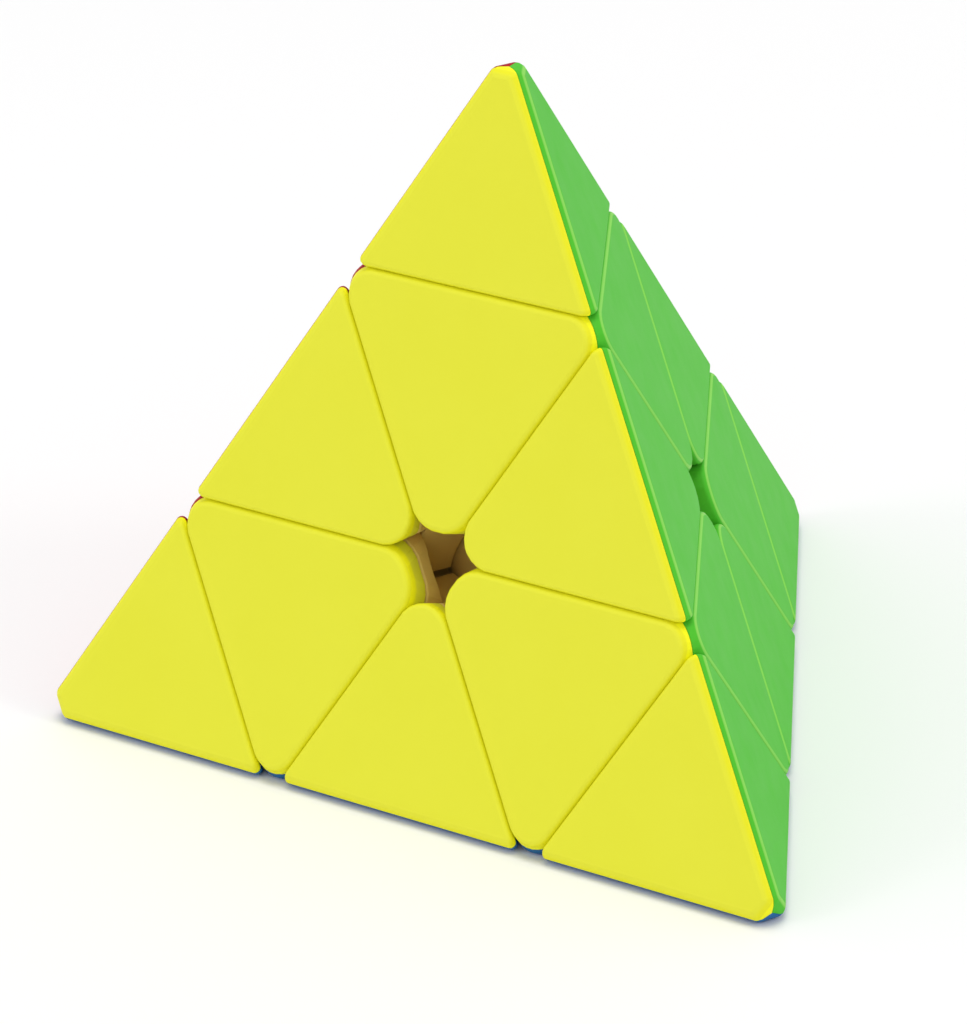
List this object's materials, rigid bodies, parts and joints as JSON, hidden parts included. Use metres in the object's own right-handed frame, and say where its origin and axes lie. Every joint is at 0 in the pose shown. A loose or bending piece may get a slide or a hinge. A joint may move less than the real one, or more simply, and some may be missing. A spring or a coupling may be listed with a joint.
{
  "type": "pyramid twisty puzzle",
  "caption": "Pyramid-shaped twisty puzzle with turning corner layers and turning tips: coloured shells on a cream inner mechanism with a ball core, screws and springs.",
  "frame": {"origin": "the pivot centre, where the four turning axes meet, which is the centroid of the pyramid", "axes": "+Z from the pivot centre to the top corner, +Y towards the back corner, +X to the right along the front bottom edge"},
  "size_m": [0.098, 0.0859, 0.0805],
  "materials": {
    "shell_front": "satin yellow moulded plastic",
    "shell_right": "satin green moulded plastic",
    "shell_left": "satin red moulded plastic",
    "shell_bottom": "satin blue moulded plastic",
    "inner_plastic": "cream moulded plastic, slightly matte",
    "core_plastic": "cream moulded plastic, slightly matte",
    "screw_steel": "zinc-plated steel",
    "spring_steel": "spring steel wire"
  },
  "bodies": {
    "core": {"core": "core_plastic", "screw_T": "screw_steel", "spring_T": "spring_steel", "screw_L": "screw_steel", "spring_L": "spring_steel", "screw_R": "screw_steel", "spring_R": "spring_steel", "screw_B": "screw_steel", "spring_B": "spring_steel"},
    "axial_T": {"axial_body_T": "inner_plastic", "axial_shell_T_front": "shell_front", "axial_shell_T_right": "shell_right", "axial_shell_T_left": "shell_left"},
    "axial_L": {"axial_body_L": "inner_plastic", "axial_shell_L_front": "shell_front", "axial_shell_L_left": "shell_left", "axial_shell_L_bottom": "shell_bottom"},
    "axial_R": {"axial_body_R": "inner_plastic", "axial_shell_R_front": "shell_front", "axial_shell_R_right": "shell_right", "axial_shell_R_bottom": "shell_bottom"},
    "axial_B": {"axial_body_B": "inner_plastic", "axial_shell_B_right": "shell_right", "axial_shell_B_left": "shell_left", "axial_shell_B_bottom": "shell_bottom"},
    "tip_T": {"tip_body_T": "inner_plastic", "tip_shell_T_front": "shell_front", "tip_shell_T_right": "shell_right", "tip_shell_T_left": "shell_left"},
    "tip_L": {"tip_body_L": "inner_plastic", "tip_shell_L_front": "shell_front", "tip_shell_L_left": "shell_left", "tip_shell_L_bottom": "shell_bottom"},
    "tip_R": {"tip_body_R": "inner_plastic", "tip_shell_R_front": "shell_front", "tip_shell_R_right": "shell_right", "tip_shell_R_bottom": "shell_bottom"},
    "tip_B": {"tip_body_B": "inner_plastic", "tip_shell_B_right": "shell_right", "tip_shell_B_left": "shell_left", "tip_shell_B_bottom": "shell_bottom"},
    "edge_TL": {"edge_body_TL": "inner_plastic", "edge_shell_TL_front": "shell_front", "edge_shell_TL_left": "shell_left"},
    "edge_TR": {"edge_body_TR": "inner_plastic", "edge_shell_TR_front": "shell_front", "edge_shell_TR_right": "shell_right"},
    "edge_TB": {"edge_body_TB": "inner_plastic", "edge_shell_TB_right": "shell_right", "edge_shell_TB_left": "shell_left"},
    "edge_LR": {"edge_body_LR": "inner_plastic", "edge_shell_LR_front": "shell_front", "edge_shell_LR_bottom": "shell_bottom"},
    "edge_RB": {"edge_body_RB": "inner_plastic", "edge_shell_RB_right": "shell_right", "edge_shell_RB_bottom": "shell_bottom"},
    "edge_BL": {"edge_body_BL": "inner_plastic", "edge_shell_BL_left": "shell_left", "edge_shell_BL_bottom": "shell_bottom"}
  },
  "joints": [
    {"name": "top_layer_turn", "type": "hinge", "parent": "core", "child": "axial_T", "pos_m": [0, 0, 0], "axis": [0, 0, 1], "range_deg": [-420, 480]},
    {"name": "left_layer_turn", "type": "hinge", "parent": "core", "child": "axial_L", "pos_m": [0, 0, 0], "axis": [-0.8165, -0.4714, -0.3333], "range_deg": [-360, 480]},
    {"name": "right_layer_turn", "type": "hinge", "parent": "core", "child": "axial_R", "pos_m": [0, 0, 0], "axis": [0.8165, -0.4714, -0.3333], "range_deg": [-360, 480]},
    {"name": "back_layer_turn", "type": "hinge", "parent": "core", "child": "axial_B", "pos_m": [0, 0, 0], "axis": [0, 0.9428, -0.3333], "range_deg": [-360, 480]},
    {"name": "top_tip_turn", "type": "hinge", "parent": "axial_T", "child": "tip_T", "pos_m": [0, 0, 0], "axis": [0, 0, 1], "continuous": true},
    {"name": "left_tip_turn", "type": "hinge", "parent": "axial_L", "child": "tip_L", "pos_m": [0, 0, 0], "axis": [-0.8165, -0.4714, -0.3333], "continuous": true},
    {"name": "right_tip_turn", "type": "hinge", "parent": "axial_R", "child": "tip_R", "pos_m": [0, 0, 0], "axis": [0.8165, -0.4714, -0.3333], "continuous": true},
    {"name": "back_tip_turn", "type": "hinge", "parent": "axial_B", "child": "tip_B", "pos_m": [0, 0, 0], "axis": [0, 0.9428, -0.3333], "continuous": true},
    {"name": "edge_TL_with_left_layer", "type": "hinge", "parent": "axial_T", "child": "edge_TL", "pos_m": [0, 0, 0], "axis": [-0.8165, -0.4714, -0.3333], "range_deg": [-360, 480]},
    {"name": "edge_TR_with_right_layer", "type": "hinge", "parent": "axial_T", "child": "edge_TR", "pos_m": [0, 0, 0], "axis": [0.8165, -0.4714, -0.3333], "range_deg": [-360, 480]},
    {"name": "edge_TB_with_back_layer", "type": "hinge", "parent": "axial_T", "child": "edge_TB", "pos_m": [0, 0, 0], "axis": [0, 0.9428, -0.3333], "range_deg": [-360, 480]},
    {"name": "edge_LR_with_right_layer", "type": "hinge", "parent": "axial_L", "child": "edge_LR", "pos_m": [0, 0, 0], "axis": [0.8165, -0.4714, -0.3333], "range_deg": [-360, 480]},
    {"name": "edge_RB_with_back_layer", "type": "hinge", "parent": "axial_R", "child": "edge_RB", "pos_m": [0, 0, 0], "axis": [0, 0.9428, -0.3333], "range_deg": [-360, 480]},
    {"name": "edge_BL_with_left_layer", "type": "hinge", "parent": "axial_B", "child": "edge_BL", "pos_m": [0, 0, 0], "axis": [-0.8165, -0.4714, -0.3333], "range_deg": [-360, 480]}
  ],
  "couplings": [
    {"joint": "edge_TL_with_left_layer", "follows": "left_layer_turn", "ratio": 1},
    {"joint": "edge_TR_with_right_layer", "follows": "right_layer_turn", "ratio": 1},
    {"joint": "edge_TB_with_back_layer", "follows": "back_layer_turn", "ratio": 1},
    {"joint": "edge_LR_with_right_layer", "follows": "right_layer_turn", "ratio": 1},
    {"joint": "edge_RB_with_back_layer", "follows": "back_layer_turn", "ratio": 1},
    {"joint": "edge_BL_with_left_layer", "follows": "left_layer_turn", "ratio": 1}
  ]
}
